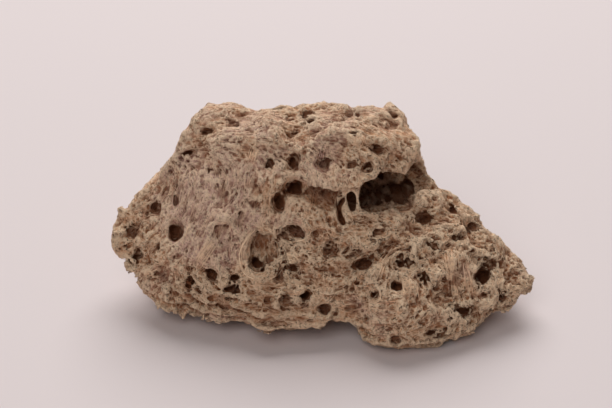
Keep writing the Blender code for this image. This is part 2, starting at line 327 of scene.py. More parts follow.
# %% Smear random cells along the flow
SMEAR_STEPS = 9  # steps of one cell each way
SMEAR_HEIGHT = 0.055  # mm
grit = blurred(np.random.default_rng(31).standard_normal(shape, np.float32), 1)
ways = flow(near_points).astype(np.float32)
cells = np.stack((i, j, k), 1).astype(np.float32)
smear = np.zeros(len(i), np.float32)
tops = np.array(shape, np.int32) - 1
for step in range(-SMEAR_STEPS, SMEAR_STEPS + 1):
    at = np.clip(np.rint(cells + ways * step).astype(np.int32), 0, tops)
    smear += grit[at[:, 0], at[:, 1], at[:, 2]]
smear /= smear.std()
streaks = np.zeros(shape, np.float32)
streaks[i, j, k] = smear
relief += SMEAR_HEIGHT * smear
detail = np.zeros(shape, np.float32)  # the fine part, kept to roughen the bubbles' walls too
detail[i, j, k] = 0.10 * coarse + 0.10 * fine - 0.30 * np.clip(fine - 0.9, 0, 1.0) + SMEAR_HEIGHT * smear
relief = np.clip(relief, 0.05 - ROUGH_BAND, ROUGH_BAND - 0.05)
skin[i, j, k] -= relief
rough_skin = skin.copy()
print("the relief runs from", *np.round(np.percentile(relief, (1, 99)), 2), "mm")

# %% [markdown]
# ## Carving one bubble
# A bubble is an ellipsoid with an uneven wall. Its own distances are worked out in a small window of the
# block only. Where it has a lip, its thin glass wall is joined on first, cut off a little above the
# skin. The bubble itself is then cut away.

# %% Carve an ellipsoid
froth = np.full(shape, 9.0, np.float32)  # distance to the nearest bubble carved so far
wobble = 0.6 * lumps(0.9, 41) + 0.8 * lumps(2.1, 42)
WOBBLE = 0.42  # how uneven a wall is, as a share of the smallest radius


def carve(centre, axes, radii, lip=0.0, wall=0.2, crowds=True):
    """Cuts an ellipsoid, its axes as rows, its wall lip mm over the skin. Froth avoids one that crowds."""
    reach = np.sqrt(((axes * radii[:, None]) ** 2).sum(0)) * (1 + WOBBLE) + wall + 2 * VOXEL
    first = np.maximum(np.floor((centre - reach - low) / VOXEL).astype(int), 0)
    last = np.minimum(np.ceil((centre + reach - low) / VOXEL).astype(int) + 1, shape)
    if (last <= first).any():
        return
    window = tuple(slice(a, b) for a, b in zip(first, last))
    grids = np.ogrid[window]
    offset = [(low[n] + grids[n] * VOXEL - centre[n]).astype(np.float32) for n in range(3)]
    near_unit = 0
    steepness = 0
    for axis, radius in zip(axes.astype(np.float32), radii.astype(np.float32)):
        along = (offset[0] * axis[0] + offset[1] * axis[1] + offset[2] * axis[2]) / radius
        near_unit = near_unit + along**2
        steepness = steepness + (along / radius) ** 2
    length = np.sqrt(near_unit)
    gap = length * (length - 1) / np.maximum(np.sqrt(steepness), 1e-6)
    gap += wobble[window] * np.float32(WOBBLE * radii.min())
    gap += detail[window] * np.float32(min(1.0, radii.min()))
    if lip:
        shell = np.maximum(np.abs(gap) - wall, rough_skin[window] - lip)
        skin[window] = np.minimum(skin[window], shell)
    skin[window] = np.maximum(skin[window], -gap)
    if crowds:
        froth[window] = np.minimum(froth[window], gap)


def turned(degrees, axis, vectors):
    """Vectors turned about a unit axis."""
    angle = math.radians(degrees)
    turned_way = vectors * math.cos(angle) + np.cross(axis, vectors) * math.sin(angle)
    return turned_way + axis * (vectors @ axis)[:, None] * (1 - math.cos(angle))


# %% [markdown]
# ## The mouth of the big hollow
# The hollow was one great bubble whose front wall broke away, so its mouth has a torn outline and a sharp
# lip. The CAD stone has the hollow but a plain mouth. Here the outline is drawn on the sheet and cut
# straight in along the lines of sight. Two slots beside it, behind the loops of glass, go the same way.

# %% Outlines on the sheet
# The wall that was left standing between the mouth and the slots: its outline and how thick it is
WALL = [(6.2, 2.5), (8.0, 3.6), (9.9, 3.8), (10.5, 3.2), (10.3, 1.5), (10.4, 0.0), (10.7, -1.4), (9.4, -2.2),
        (7.4, -2.4), (6.2, -1.2), (5.8, 0.8)]
WALL_THICK = 3.5
# (outline on the sheet, how far it goes in behind the skin at its edge)
CUTS = [
    ([(10.1, 2.7), (10.6, 3.6), (11.3, 4.3), (12.6, 4.7), (13.8, 5.0), (14.5, 5.3), (15.7, 5.8), (16.8, 6.0),
      (18.0, 6.2), (19.1, 5.6), (19.9, 4.6), (20.5, 3.2), (20.8, 1.7), (20.2, 1.1), (20.0, -0.2),
      (19.9, -1.4), (18.2, -1.6), (17.2, -1.0), (16.1, -0.7), (14.9, -1.3), (13.4, -1.7), (12.2, -1.7),
      (11.3, -1.3), (10.6, -1.1), (10.2, -0.2), (10.0, 1.1)], 10.0),
    ([(7.7, 2.2), (8.6, 2.7), (9.4, 2.1), (9.7, 1.0), (9.6, -0.6), (9.2, -1.6), (8.5, -1.4), (7.9, -0.1),
      (7.6, 1.2)], 6.0),
    ([(7.5, 1.5), (6.5, 0.8), (5.8, -0.4), (5.7, -1.6), (6.1, -3.1), (7.1, -4.1), (7.8, -3.8), (7.3, -2.7),
      (6.9, -1.5), (7.0, -0.4), (7.5, 0.7)], 3.2),
]


def seen_on_sheet(points):
    """Across, up and the distance from the eye of points in mm, as the eye sees them."""
    from_eye = points - EYE
    away = from_eye @ SIGHT
    return from_eye @ ACROSS * SIGHT_DISTANCE / away, from_eye @ UP_SHEET * SIGHT_DISTANCE / away, away


def to_outline(across, up, corners):
    """How far places on the sheet lie from an outline, below zero inside it."""
    corners = np.array(corners)
    nearest = np.full(across.shape, 99.0)
    inside = np.zeros(across.shape, bool)
    for (x0, y0), (x1, y1) in zip(corners, np.roll(corners, -1, axis=0)):
        along = ((across - x0) * (x1 - x0) + (up - y0) * (y1 - y0)) / ((x1 - x0) ** 2 + (y1 - y0) ** 2)
        along = np.clip(along, 0, 1)
        nearest = np.minimum(nearest, np.hypot(across - x0 - along * (x1 - x0), up - y0 - along * (y1 - y0)))
        crosses = (y0 > up) != (y1 > up)
        inside ^= crosses & (across < x0 + (up - y0) * (x1 - x0) / np.where(y1 == y0, 1, y1 - y0))
    return np.where(inside, -nearest, nearest)


def outline_window(corners, inward):
    """Where an outline meets the skin, and the part of the block behind it, with its sheet places."""
    met = np.array([met_by_sight(across, up, smooth_skin) for across, up in corners])
    first = np.maximum(((met.min(0) - 3 - low) / VOXEL).astype(int), 0)
    last = np.minimum(((met.max(0) + inward + 3 - low) / VOXEL).astype(int) + 1, shape)
    window = tuple(slice(a, b) for a, b in zip(first, last))
    cells = np.stack(np.meshgrid(*(part[cut] for part, cut in zip(cell_places, window)), indexing="ij"), -1)
    return seen_on_sheet(met)[2], window, *seen_on_sheet(cells)


edge_away, window, across, up, away = outline_window(WALL, WALL_THICK)
nearness = [((across - x) ** 2 + (up - y) ** 2 + 0.3) ** -1.5 for x, y in WALL]
edge_away = np.minimum(edge_away, np.percentile(edge_away, 30))
front_of_wall = sum(near * edge for near, edge in zip(nearness, edge_away)) / sum(nearness)
gap = np.maximum.reduce([to_outline(across, up, WALL), front_of_wall - away, away - front_of_wall - WALL_THICK])
skin[window] = np.minimum(skin[window], (gap - 0.5 * detail[window]).astype(np.float32))
for corners, inward in CUTS:
    edge_away, window, across, up, away = outline_window(corners, inward)
    gap = np.maximum(to_outline(across, up, corners), away - edge_away.min() - inward)
    gap = gap + 0.12 * wobble[window] + 0.6 * detail[window]
    skin[window] = np.maximum(skin[window], -gap.astype(np.float32))
    froth[window] = np.minimum(froth[window], gap.astype(np.float32))
    print("cut an outline of", len(corners), "corners from", round(float(edge_away.min()), 1), "mm away")

# %% [markdown]
# ## The bubbles that give the stone its face
# These are placed on the sheet: across, up, half-width, half-height, turn, and how deep the
# bottom lies under the skin that the line of sight meets there. Where the skin slopes away from the
# eye, the bubble leans towards the skin's own normal, so that it doesn't break out at the side.

# %% Bubbles placed one by one
FACE_BUBBLES = [
    (33.9, -14.6, 1.5, 2.0, 0, 3.2), (33.2, -10.9, 2.2, 1.5, 0, 0.8), (31.5, -8.2, 1.6, 0.9, 10, 0.7),
    (-8.3, -9.7, 3.1, 4.6, 0, 1.5), (-9.3, -11.2, 1.2, 1.3, 20, 2.2), (-6.9, -6.4, 0.6, 0.5, 0, 1.9),
    (-2.3, -5.2, 2.1, 2.0, 0, 0.9), (-4.5, -12.3, 0.85, 2.3, -15, 1.2), (-2.4, -12.3, 0.85, 0.85, 0, 1.6),
    (-2.6, -14.0, 0.9, 0.4, 0, 1.2), (-0.2, -17.8, 1.35, 1.35, 0, 1.5), (-3.4, -18.2, 1.6, 1.5, 0, 0.6),
    (3.4, -20.3, 1.6, 1.5, 0, 0.8), (-7.5, -18.4, 0.8, 0.8, 0, 1.1), (-13.8, -14.2, 1.1, 1.0, 0, 1),
    (-14.9, -16.1, 1.1, 0.9, 0, 1.0), (-12.4, -16.3, 0.6, 0.6, 0, 1), (-22.2, -15.1, 1.4, 1.2, 20, 0.7),
    (-18.9, -13.2, 1.2, 1.0, 0, 0.8), (-17.6, -12.2, 1.6, 0.8, -8, 0.8), (-25.1, -5.2, 1.15, 1.5, 0, 1.9),
    (-28.9, -1.0, 0.6, 0.75, 0, 1.5), (-24.9, 0.8, 0.6, 1.9, 0, 0.6), (-33.5, -5.2, 1.0, 0.7, -30, 0.8),
    (-31.6, -4.4, 0.6, 0.6, 0, 1), (-36.0, -6.5, 0.6, 0.6, 0, 0.8), (-32.3, -10.1, 1.0, 0.7, 20, 0.8),
    (-22.2, 9.9, 0.9, 0.6, 15, 1), (-24.0, 8.8, 0.6, 0.5, 0, 0.8), (-19.1, 13.8, 0.8, 0.6, 0, 0.8),
    (-15.3, 12.4, 0.6, 0.5, 0, 0.8), (-14.2, 15.7, 1.0, 0.7, 0, 0.7), (0.4, 17.4, 1.1, 0.8, 0, 1),
    (0.8, 15.7, 0.9, 0.7, 0, 0.9), (8.2, 17.0, 1.2, 0.8, 0, 0.9), (6.5, 16.6, 0.6, 0.5, 0, 0.8),
    (17.0, 15.3, 0.9, 0.7, 0, 0.8), (-2.3, 3.1, 1.9, 1.7, 0, 2.6), (-5.2, 0.2, 1.0, 1.2, 0, 2.6),
    (-4.4, 2.7, 0.9, 0.9, 0, 1.3), (-2.5, 8.0, 0.7, 1.5, 0, 1.2), (-0.4, 9.9, 0.6, 0.6, 0, 0.9),
    (-6.9, 8.0, 1.3, 1.1, 0, 0.5), (-9.4, -0.2, 0.8, 0.8, 0, 0.9), (-12.6, -1.7, 0.5, 0.5, 0, 0.8),
    (13.8, 10.5, 1.2, 1.0, 0, 0.9), (9.4, 13.2, 0.8, 0.7, 0, 0.9), (8.8, 7.5, 0.8, 0.7, 0, 0.9),
    (15.3, 10.3, 0.7, 0.7, 0, 0.9), (18.0, 8.8, 0.8, 0.6, 0, 0.9), (11.7, 6.8, 1.1, 0.6, 10, 0.7),
    (3.1, 7.8, 1.7, 1.4, 0, 0.5),
    (6.1, -5.0, 0.6, 0.5, 0, 1), (4.4, -2.9, 0.7, 0.6, 0, 0.9), (11.9, -11.4, 2.6, 1.1, 22, 0.8),
    (11.1, -14.0, 1.0, 0.9, 0, 1.4), (12.0, -13.2, 0.5, 0.5, 0, 1.4), (9.6, -9.4, 1.2, 1.1, 0, 0.6),
    (18.9, -11.3, 2.3, 2.0, 0, 0.7), (18.1, -11.6, 0.6, 0.6, 0, 2.4), (20.5, -11.1, 0.4, 0.4, 0, 1.4),
    (22.8, -14.2, 1.6, 1.1, 5, 1.5), (17.6, -15.9, 1.2, 1.0, 0, 1.5), (13.2, -17.4, 1.0, 1.2, 0, 1.2),
    (24.1, -7.8, 1.8, 1.5, 0, 0.6), (23.0, -2.9, 0.9, 0.8, 0, 1.5), (27.9, -1.1, 0.9, 0.8, 0, 0.8),
    (31.6, -4.2, 1.0, 0.9, 0, 0.9), (28.7, -6.3, 1.3, 1.1, 0, 0.6), (35.6, -11.1, 0.9, 0.8, 0, 1),
    (38.8, -11.7, 0.6, 0.6, 0, 0.8), (36.3, -13.2, 0.5, 0.5, 0, 1), (34.2, -17.4, 0.5, 0.5, 0, 1),
    (34.8, -19.9, 0.6, 0.6, 0, 0.9), (33.9, -20.9, 0.6, 0.6, 0, 0.9), (37.7, -18.2, 1.2, 1.1, 0, 0.8),
    (30.0, -20.5, 1.5, 1.0, 0, 1), (28.1, -19.3, 0.9, 0.8, 0, 1), (27.9, -22.2, 0.8, 0.7, 0, 0.8),
    (25.1, -24.5, 2.6, 1.2, 8, 0.7), (22.8, -24.5, 0.9, 0.8, 0, 0.8), (11.3, -25.1, 1.5, 1.1, 0, 0.8),
    (17.4, -26.2, 1.4, 0.9, 0, 0.7), (-7.3, -22.6, 1.4, 0.7, 0, 0.6), (4.6, -8.8, 1.3, 1.1, 0, 0.7),
    (-23.7, -20.7, 0.9, 0.8, 0, 0.8), (6.5, -16.1, 0.7, 0.6, 0, 0.9), (7.7, -15.9, 0.5, 0.5, 0, 0.9),
    (-11.3, -10.3, 0.6, 0.6, 0, 0.8), (-26.0, -16.8, 0.7, 0.6, 0, 0.8), (-25.8, -18.2, 0.5, 0.5, 0, 0.8),
]
DEEP_HOLLOW = [(12.8, 1.0, 3.2, 3.0, 0, 4.5), (17.6, 2.4, 3.2, 3.2, 0, 5.0), (15.4, 2.2, 5.0, 3.4, 0, 5.5)]
LIP_OVER = 0.9  # bubbles wider than this keep a lip
DENT_WIDTH, DENT_DEPTH = 1.7, 0.4  # the shallow dent round a bubble, as shares of the bubble
CROWDS_UNDER = 0.8  # wider bubbles have froth of their own inside
MOUTH_SINK = 0.2  # how far a bubble's middle lies under its mouth, as a share of its depth
MOUTH_SHARE = 0.9  # a bubble is drawn this much narrower, as its uneven wall widens it
MERGED = 3  # smaller bubbles that broke into each larger one
MERGED_OVER = 0.65  # mm, the least half-width of a bubble that others broke into
dice = np.random.default_rng(61)


for across, up, half_width, half_height, turn, sink in DEEP_HOLLOW + FACE_BUBBLES:
    met = met_by_sight(across, up, smooth_skin)
    if met is None:
        continue
    normal = slope(smooth_skin, met[None])[0]
    facing = np.clip(-normal @ SIGHT, 0, 1)
    inward = SIGHT * facing - normal * (1 - facing)
    inward /= np.linalg.norm(inward)
    flat = turned(turn, -SIGHT, np.stack([ACROSS, UP_SHEET]))
    flat -= (flat @ inward)[:, None] * inward
    squeeze = np.clip(np.linalg.norm(flat, axis=1), 0.6, 1)
    side = flat[0] / np.linalg.norm(flat[0])
    axes = np.stack([side, np.cross(inward, side), inward])
    lip = 0.15 if LIP_OVER < max(half_width, half_height) and sink < 4 else 0.0
    sizes = np.array((half_width / squeeze[0], half_height / squeeze[1], sink * (1 - MOUTH_SINK)))
    sizes[:2] *= MOUTH_SHARE
    if sink < 4:
        carve(met, axes, sizes * (DENT_WIDTH, DENT_WIDTH, DENT_DEPTH), crowds=False)
    carve(met + inward * sink * MOUTH_SINK, axes, sizes, lip=lip, crowds=half_width < CROWDS_UNDER)
    if half_width < MERGED_OVER or 2.5 < half_width:
        continue
    for angle in dice.uniform(0, 2 * math.pi, MERGED):
        out = axes[0] * sizes[0] * math.cos(angle) + axes[1] * sizes[1] * math.sin(angle)
        beside = met + out * dice.uniform(0.6, 0.95) + inward * sink * dice.uniform(0.0, 0.6)
        carve(beside, axes, min(half_width, half_height) * dice.uniform(0.22, 0.48, 3), crowds=False)
print(len(FACE_BUBBLES), "bubbles placed by hand")

# %% [markdown]
# ## The froth between them
# Thousands of smaller bubbles cut the skin everywhere, many small ones to each large one. Each is
# stretched along the flow, most where the glass lies straight. A candidate is dropped where an earlier
# bubble leaves it no wall. The sides that were given no listed bubbles get larger ones here.

# %% Scatter the froth
dice = np.random.default_rng(7)
FROTH_TRIES = 28000
SMALLEST, LARGEST = 0.20, 1.5  # radius in mm
LARGEST_IN_FRONT = 0.42  # and more where the glass is tangled
SHALLOW_OVER = 0.35  # bubbles with a larger radius are cut through near their bottoms
on_skin = np.argwhere(np.abs(skin) < 0.5 * VOXEL)
centres = low + on_skin[dice.choice(len(on_skin), FROTH_TRIES)] * VOXEL
mess = sample(tangle, centres, FLOW_SPACING)
outward = slope(smooth_skin, centres)
radii = SMALLEST * (1 - dice.random(FROTH_TRIES) * (1 - (SMALLEST / LARGEST) ** 2)) ** -0.5
in_front = outward @ SIGHT < -0.1
too_large = in_front & (radii > LARGEST_IN_FRONT + 0.3 * mess)
radii = np.where(too_large, SMALLEST + 0.2 * radii, radii)
wanted = dice.random(FROTH_TRIES) < 0.10 + 0.9 * mess
order = np.flatnonzero(wanted)
order = order[np.argsort(-radii[order])]
drawn = flow(centres, outward)
stretches = 1 + dice.random(FROTH_TRIES) * (1.8 - 0.8 * mess)
shallow = radii > SHALLOW_OVER
sinks = dice.uniform(0.0, 0.8, FROTH_TRIES) - 0.4 * shallow
depths = 1.3 - 0.4 * shallow
kept = 0
for n in order:
    radius, normal, along = radii[n], outward[n], drawn[n]
    sunk = centres[n] - normal * radius * sinks[n]
    i, j, k = np.clip(np.round((sunk - low) / VOXEL).astype(int), 0, tops)
    if froth[i, j, k] < radius * 0.7 or sunk[2] < 0.4:
        continue
    axes = np.stack([along, np.cross(normal, along), normal])
    sizes = radius * np.array((stretches[n] ** 0.7, stretches[n] ** -0.3, depths[n]))
    carve(sunk, axes, sizes, lip=0.12 if radius > 0.6 else 0.0)
    kept += 1
print(kept, "bubbles of froth from", FROTH_TRIES, "tries")

# %% Cut the foot flat and turn the block back into a mesh
heights = low[2] + np.arange(shape[2]) * VOXEL
skin = np.maximum(skin, -heights[None, None, :].astype(np.float32))
for axis in range(3):
    for face in (0, -1):
        skin[tuple(face if a == axis else slice(None) for a in range(3))] = MARGIN
carved = openvdb.FloatGrid(background=MARGIN)
carved.copyFromArray(skin)
carved.gridClass = openvdb.GridClass.LEVEL_SET
points, triangles, quads = carved.convertToPolygons(isovalue=0.0)
points = low + points * VOXEL
print(len(points), "points,", len(triangles), "triangles and", len(quads), "quads")

# %% [markdown]
# ## A mesh of a reasonable size
# The block gives an even mesh of tiny quads. First the loose crumbs and sealed pockets go. Decimate then
# spends triangles where the form needs them, and more of them on the stone's best side.

# %% Make the mesh and drop what isn't joined to it
MOST_TRIANGLES = 197_000
SHARE_IN_FRONT = 0.62


def mesh_object(name, points, faces):
    """A mesh object with its points in mm and its faces as rows of corner numbers."""
    mesh = bpy.data.meshes.new(name)
    mesh.vertices.add(len(points))
    mesh.vertices.foreach_set("co", (points * MM).astype(np.float32).ravel())
    sides = faces.shape[1]
    mesh.loops.add(faces.size)
    mesh.loops.foreach_set("vertex_index", faces.astype(np.int32).ravel())
    mesh.polygons.add(len(faces))
    mesh.polygons.foreach_set("loop_start", np.arange(0, faces.size, sides, dtype=np.int32))
    mesh.update(calc_edges=True)
    mesh.validate()
    made = bpy.data.objects.new(name, mesh)
    bpy.context.scene.collection.objects.link(made)
    return made


def make_active(thing):
    bpy.ops.object.select_all(action="DESELECT")
    thing.select_set(True)
    bpy.context.view_layer.objects.active = thing


def vertex_places(thing):
    """A mesh's vertices in mm."""
    found = np.empty(len(thing.data.vertices) * 3, np.float32)
    thing.data.vertices.foreach_get("co", found)
    return found.reshape(-1, 3) / MM


stone = mesh_object("pumice", points, quads[:, ::-1])
make_active(stone)
stone.data.vertices.foreach_set("select", np.arange(len(points)) == np.argmax(points[:, 2]))
bpy.ops.object.mode_set(mode="EDIT")
bpy.ops.mesh.select_mode(type="VERT")
bpy.ops.mesh.select_linked()
bpy.ops.mesh.select_all(action="INVERT")
bpy.ops.mesh.delete(type="VERT")
bpy.ops.object.mode_set(mode="OBJECT")
print(len(points) - len(stone.data.vertices), "points of crumbs and pockets dropped")

# %% Thin the mesh, less in front
is_front = slope(smooth_skin, vertex_places(stone)) @ SIGHT < 0.05
whole = 2 * len(stone.data.polygons)
front_count = whole * is_front.mean()
back_left = MOST_TRIANGLES * (1 - SHARE_IN_FRONT)
for name, members, before, after in (
    ("back", ~is_front, whole, front_count + back_left),
    ("front", is_front, front_count + back_left, MOST_TRIANGLES),
):
    if name == "front":
        is_front = slope(smooth_skin, vertex_places(stone)) @ SIGHT < 0.05
        members = is_front
    group = stone.vertex_groups.new(name=name)
    group.add(np.flatnonzero(members).tolist(), 1.0, "REPLACE")
    thin = stone.modifiers.new("thin", "DECIMATE")
    thin.vertex_group = name
    thin.use_collapse_triangulate = True
    thin.ratio = after / before
    bpy.ops.object.modifier_apply(modifier="thin")
    print("with the", name, "thinned there are", len(stone.data.polygons), "faces")

# %% Drop the flaps
# Where thinning closes a neck, two faces end back to back on the same three points, and stand for nothing.
flap_corners = np.empty(len(stone.data.loops), np.int32)
stone.data.loops.foreach_get("vertex_index", flap_corners)
flap_corners = np.sort(flap_corners.reshape(-1, 3), axis=1)
_, same_as, alike = np.unique(flap_corners, axis=0, return_inverse=True, return_counts=True)
is_flap = alike[same_as.reshape(-1)] > 1
make_active(stone)
bpy.context.tool_settings.mesh_select_mode = (False, False, True)
for elements in (stone.data.vertices, stone.data.edges):
    elements.foreach_set("select", np.zeros(len(elements), bool))
stone.data.polygons.foreach_set("select", is_flap)
bpy.ops.object.mode_set(mode="EDIT")
bpy.ops.mesh.delete(type="FACE")
bpy.ops.mesh.select_all(action="SELECT")
bpy.ops.mesh.delete_loose(use_verts=True, use_edges=True, use_faces=False)
bpy.ops.mesh.select_mode(type="VERT")
bpy.ops.object.mode_set(mode="OBJECT")
print(is_flap.sum(), "faces back to back dropped, which leaves", len(stone.data.polygons))

# %% Turn the faces outwards
make_active(stone)
bpy.ops.object.mode_set(mode="EDIT")
bpy.ops.mesh.select_all(action="SELECT")
bpy.ops.mesh.normals_make_consistent(inside=False)
bpy.ops.object.mode_set(mode="OBJECT")
bpy.ops.object.shade_smooth()
stone.vertex_groups.clear()

# %% [markdown]
# ## What the materials need to know
# Pits are painted dark as painted shade, since light dies in them. Lips are painted pale as painted highlights.
# Both follow from how much solid lies round a point: blur the solid, and read the blur at the skin. A
# narrow blur finds lips and pores, a wide one finds pits, and the widest finds the big hollow.

# %% Measure pits, lips, streaks and caves
solid = np.clip(0.5 - skin / VOXEL, 0, 1).astype(np.float32)
drape = blurred(skin, 2)  # the skin with its pores filled in
TRAITS = {
    "tight": blurred(solid, 1),
    "wide": blurred(solid, 4),
    "dell": blurred(solid, 7, times=2),
    "streak": streaks,
}
TRAIT_NAMES = ("tight", "wide", "dell", "streak", "tangle", "crevice", "cave", "stain_and_shade")
# (across, up, reach in mm, how brown): brown stains, some of them painted shade on dish floors and walls; below
# zero is washed pale
STAINS_AND_SHADES = [
    (3.0, -1.2, 3.0, 0.25), (-2.5, 2.6, 2.6, 0.8), (22.6, 4.6, 3.2, 0.4), (7.5, -8.5, 5.0, 0.35),
    (-20.0, -15.5, 4.0, 0.45), (-8.3, -8.8, 3.2, 0.5), (-9.0, -20.5, 8.5, 0.50), (24.0, -23.0, 6.0, 0.3), (9.0, -12.0, 2.5, 0.5),
    (30.0, -3.5, 4.0, 0.25), (-29.0, 0.5, 3.5, 0.25), (12.5, 9.8, 4.4, 0.42),
    (-21.0, -1.5, 6.5, -0.8), (-18.5, -8.5, 4.5, -0.7), (3.0, 9.0, 3.0, -0.9), (0.2, 6.0, 2.4, -0.6),
    (-12.0, 7.0, 5.0, -0.3), (28.5, -12.5, 3.5, -0.5), (20.0, -16.5, 2.0, -0.4), (4.0, -16.5, 2.5, -0.4),
]


SKY = 40  # directions looked in
REACHES = (0.6, 1.0, 1.6, 2.3, 3.2, 4.6, 6.4, 8.6, 11.0, 14.0)  # mm looked at along each
NEAR_REACH = 3.2
is_solid = (skin < 0).ravel()


def shelter(places):
    """How much of the sky over each place the stone hides, close by and in all, from 0 to 1."""
    normals = slope(drape, places)
    starts = ((places + normals * 0.35 - low) / VOXEL).astype(np.float32)
    close, whole, weights = (np.zeros(len(places), np.float32) for _ in range(3))
    for n in range(SKY):
        height = 1 - (2 * n + 1) / SKY
        turn = n * math.pi * (3 - math.sqrt(5))
        wide_by = math.sqrt(1 - height * height)
        way = np.array((math.cos(turn) * wide_by, math.sin(turn) * wide_by, height), np.float32)
        weight = np.clip(normals @ way, 0, None)
        looked = np.flatnonzero(weight > 0.05)
        hidden = np.zeros(len(looked), bool)
        for reach in REACHES:
            at = np.rint(starts[looked] + way * np.float32(reach / VOXEL)).astype(np.int32)
            at = np.clip(at, 0, tops)
            hidden |= is_solid[(at[:, 0] * shape[1] + at[:, 1]) * shape[2] + at[:, 2]]
            if reach == NEAR_REACH:
                close[looked] += weight[looked] * hidden
        whole[looked] += weight[looked] * hidden
        weights[looked] += weight[looked]
    return close / weights, whole / weights


stain_and_shade_places = [(met_by_sight(x, y, smooth_skin), reach, amount) for x, y, reach, amount in STAINS_AND_SHADES]


def traits_at(places):
    """Every trait at some places, by name."""
    found = {name: sample(block, places) for name, block in TRAITS.items()}
    found["tangle"] = sample(tangle, places, FLOW_SPACING)
    found["crevice"], found["cave"] = shelter(places)
    found["stain_and_shade"] = sum(
        amount * np.exp(-((places - middle) ** 2).sum(1) / reach**2) for middle, reach, amount in stain_and_shade_places
    )
    return found


def give(thing, name, values):
    """Stores one number for each vertex, for the material to read."""
    made = thing.data.attributes.new(name, "FLOAT", "POINT")
    made.data.foreach_set("value", np.asarray(values, np.float32))


for name, values in traits_at(vertex_places(stone)).items():
    give(stone, name, values)
    print(name, "runs from", *np.round(np.percentile(values, (2, 50, 98)), 2))

# %% [markdown]
# ## Glass threads
# Drawn glass stays on the stone as fine threads: straight and side by side on the smooth faces, tangled
# elsewhere. Hair curves would be the usual way, but they don't survive an export, so each thread is a
# thin closed tube with three sides. A thread walks over the stone with its pores filled in, so it
# spans small pits as the real ones do, and its ends sink into the skin.

# %% Let threads walk over the stone
STEPS = 9  # points along a thread
END_SINK = 0.12  # mm under the draped skin, at both ends


def turn_about(ways, normals, angles):
    """Each way turned about its own normal."""
    angles = angles[:, None]
    return ways * np.cos(angles) + np.cross(normals, ways) * np.sin(angles)


def walk(starts, lengths, swerves, curls, lifts):
    """Threads that follow the flow over the skin, all at once, by thread, step and axis. Also normals."""
    here = starts.copy()
    normals = slope(drape, here)
    ways = turn_about(flow(here, normals), normals, swerves)
    pace = lengths / (STEPS - 1)
    paths, sides = [], []
    for step in range(STEPS):
        rise = 1 - abs(2 * step / (STEPS - 1) - 1) ** 4
        level = lifts * rise - END_SINK * (1 - rise)
        for _ in range(2):
            normals = slope(drape, here)
            miss = sample(drape, here) - level
            here = here - normals * np.clip(miss, -0.5, 0.5)[:, None]
        paths.append(here)
        sides.append(normals)
        ways = turn_about(ways, normals, curls * pace)
        drawn = flow(here, normals)
        drawn = turn_about(drawn * np.sign((drawn * ways).sum(1, keepdims=True)), normals, swerves * 0.5)
        ways = unit(ways + 0.25 * drawn)
        ways = unit(ways - normals * (ways * normals).sum(1, keepdims=True))
        here = here + ways * pace[:, None]
    return np.stack(paths, 1), np.stack(sides, 1)


def thread_mesh(name, paths, sides, widths):
    """One mesh of closed three-sided tubes. Widths are half-widths in mm, by thread and step."""
    count, steps = widths.shape
    ways = np.gradient(paths, axis=1)
    ways /= np.maximum(np.linalg.norm(ways, axis=2, keepdims=True), 1e-9)
    across = np.cross(ways, sides)
    across /= np.maximum(np.linalg.norm(across, axis=2, keepdims=True), 1e-9)
    upward = np.cross(across, ways)
    rings = []
    for angle in (90, 210, 330):
        turn = math.radians(angle)
        rings.append(paths + widths[..., None] * (across * math.cos(turn) + upward * math.sin(turn)))
    rings = np.stack(rings, 2)[:, 1:-1].reshape(count, -1, 3)
    points = np.concatenate([paths[:, :1], paths[:, -1:], rings], 1)
    faces = []
    for k in range(3):
        after = (k + 1) % 3
        faces.append((0, 2 + after, 2 + k))
        for ring in range(steps - 3):
            a, b = 2 + 3 * ring + k, 2 + 3 * ring + after
            faces += [(a, b, b + 3), (a, b + 3, a + 3)]
        last = 2 + 3 * (steps - 3)
        faces.append((1, last + k, last + after))
    per_thread = points.shape[1]
    faces = (np.arange(count)[:, None, None] * per_thread + np.array(faces)[None]).reshape(-1, 3)
    points = points.reshape(-1, 3)
    a, b, c = (points[faces[:, n]] for n in range(3))
    if (np.cross(a, b) * c).sum() < 0:
        faces = faces[:, ::-1]
    made = mesh_object(name, points, faces)
    make_active(made)
    bpy.ops.object.shade_smooth()
    for trait, values in traits_at(paths.reshape(-1, 3)).items():
        values = values.reshape(count, steps)
        values = np.concatenate([values[:, :1], values[:, -1:], np.repeat(values[:, 1:-1], 3, axis=1)], 1)
        give(made, trait, values.ravel())
    print(name, "has", count, "threads and", len(faces), "triangles")
    return made, per_thread


# %% Sow and lay the threads
THREADS = 12_500
THREAD_TRIES = 54_000
THREADS_IN_FRONT = 0.70
MOST_SHELTER = 0.66
dice = np.random.default_rng(57)
on_drape = np.argwhere(np.abs(drape) < 0.5 * VOXEL)
starts = low + on_drape[dice.choice(len(on_drape), THREAD_TRIES)] * VOXEL
mess = sample(tangle, starts, FLOW_SPACING)
lengths = dice.uniform(1.2, 3.4, THREAD_TRIES) + dice.random(THREAD_TRIES) * (1 - mess) * 3.0
swerves = dice.normal(0, 1, THREAD_TRIES) * (0.10 + 0.9 * mess)
curls = dice.normal(0, 1, THREAD_TRIES) * (0.04 + 0.38 * mess)
lifts = dice.uniform(-0.05, 0.18, THREAD_TRIES) * (0.5 + 0.8 * mess)
paths, sides = walk(starts, lengths, swerves, curls, lifts)
bent = np.abs(np.diff(unit(np.diff(paths, axis=1).reshape(-1, 3)).reshape(THREAD_TRIES, STEPS - 1, 3), axis=1))
sharp = (bent**2).sum(2).max(1) > 0.9
low_end = paths[:, :, 2].min(1) < 0.25
in_cave = shelter(starts)[1] > MOST_SHELTER
rare = dice.random(THREAD_TRIES) > 0.80 - 0.25 * mess
fits = np.flatnonzero(~sharp & ~low_end & ~in_cave & ~rare)
faces_front = sides[fits].mean(1) @ SIGHT < 0.0
front = fits[faces_front][: int(THREADS * THREADS_IN_FRONT)]
back = fits[~faces_front][: int(THREADS * (1 - THREADS_IN_FRONT))]
